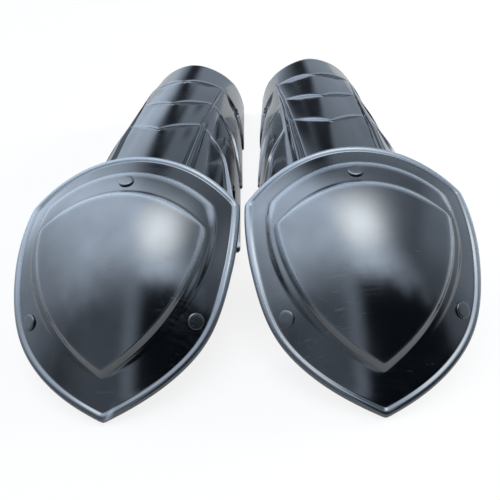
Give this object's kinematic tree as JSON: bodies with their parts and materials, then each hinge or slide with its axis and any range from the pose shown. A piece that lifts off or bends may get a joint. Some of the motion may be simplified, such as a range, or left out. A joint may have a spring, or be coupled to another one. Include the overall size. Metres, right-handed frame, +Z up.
{
  "type": "knee and shin guards",
  "caption": "Pair of black moulded leg guards: a shield-shaped knee plate with raised panel swivels on a stepped, ribbed shin shell, with webbing straps across the open back.",
  "frame": {"origin": "middle of the pair's footprint, on the ground that the guards lie on", "axes": "+X from the left guard to the right guard, +Y from the knee tips to the ankle ends, +Z up, out of the fronts of the shins"},
  "size_m": [0.3132, 0.4734, 0.0916],
  "materials": {
    "shell": "gloss, moulded",
    "rivet": "gloss enamel",
    "steel": "plain zinc",
    "spacer": "natural nylon",
    "webbing": "woven",
    "slider": "fine texture",
    "foam": "closed-cell foam with a fabric face"
  },
  "bodies": {
    "left_guard": {"left_greave": "shell", "left_pivot_rivet": "rivet", "left_pivot_spacer": "spacer", "left_pivot_washer": "steel", "left_calf_strap": "webbing", "left_calf_bars": "steel", "left_ankle_strap": "webbing", "left_ankle_bars": "steel", "left_shin_pad": "foam"},
    "left_knee": {"left_knee_cop": "shell", "left_side_rivets": "rivet", "left_side_washers": "steel", "left_knee_strap": "webbing", "left_knee_pad": "foam"},
    "left_knee_slider": {"left_knee_slider": "slider"},
    "left_calf_slider": {"left_calf_slider": "slider"},
    "left_ankle_slider": {"left_ankle_slider": "slider"},
    "right_guard": {"right_greave": "shell", "right_pivot_rivet": "rivet", "right_pivot_spacer": "spacer", "right_pivot_washer": "steel", "right_calf_strap": "webbing", "right_calf_bars": "steel", "right_ankle_strap": "webbing", "right_ankle_bars": "steel", "right_shin_pad": "foam"},
    "right_knee": {"right_knee_cop": "shell", "right_side_rivets": "rivet", "right_side_washers": "steel", "right_knee_strap": "webbing", "right_knee_pad": "foam"},
    "right_knee_slider": {"right_knee_slider": "slider"},
    "right_calf_slider": {"right_calf_slider": "slider"},
    "right_ankle_slider": {"right_ankle_slider": "slider"}
  },
  "joints": [
    {"name": "left_knee_swivel", "type": "hinge", "parent": "left_guard", "child": "left_knee", "pos_m": [-0.07883, -0.10545, 0.08923], "axis": [-0.0045, -0.1598, 0.9871], "range_deg": [-6, 6]},
    {"name": "left_knee_slide", "type": "slide", "parent": "left_knee", "child": "left_knee_slider", "axis": [0.9996, -0.0279, 0], "range_m": [-0.01, 0.01]},
    {"name": "left_calf_slide", "type": "slide", "parent": "left_guard", "child": "left_calf_slider", "axis": [0.9996, -0.0279, 0], "range_m": [-0.01, 0.01]},
    {"name": "left_ankle_slide", "type": "slide", "parent": "left_guard", "child": "left_ankle_slider", "axis": [0.9996, -0.0279, 0], "range_m": [-0.01, 0.01]},
    {"name": "right_knee_swivel", "type": "hinge", "parent": "right_guard", "child": "right_knee", "pos_m": [0.07883, -0.10545, 0.08923], "axis": [0.0045, -0.1598, 0.9871], "range_deg": [-6, 6]},
    {"name": "right_knee_slide", "type": "slide", "parent": "right_knee", "child": "right_knee_slider", "axis": [0.9996, 0.0279, 0], "range_m": [-0.01, 0.01]},
    {"name": "right_calf_slide", "type": "slide", "parent": "right_guard", "child": "right_calf_slider", "axis": [0.9996, 0.0279, 0], "range_m": [-0.01, 0.01]},
    {"name": "right_ankle_slide", "type": "slide", "parent": "right_guard", "child": "right_ankle_slider", "axis": [0.9996, 0.0279, 0], "range_m": [-0.01, 0.01]},
    {"name": "right_guard_set_apart", "type": "slide", "parent": "left_guard", "child": "right_guard", "axis": [1, 0, 0], "range_m": [0, 0.1]}
  ]
}
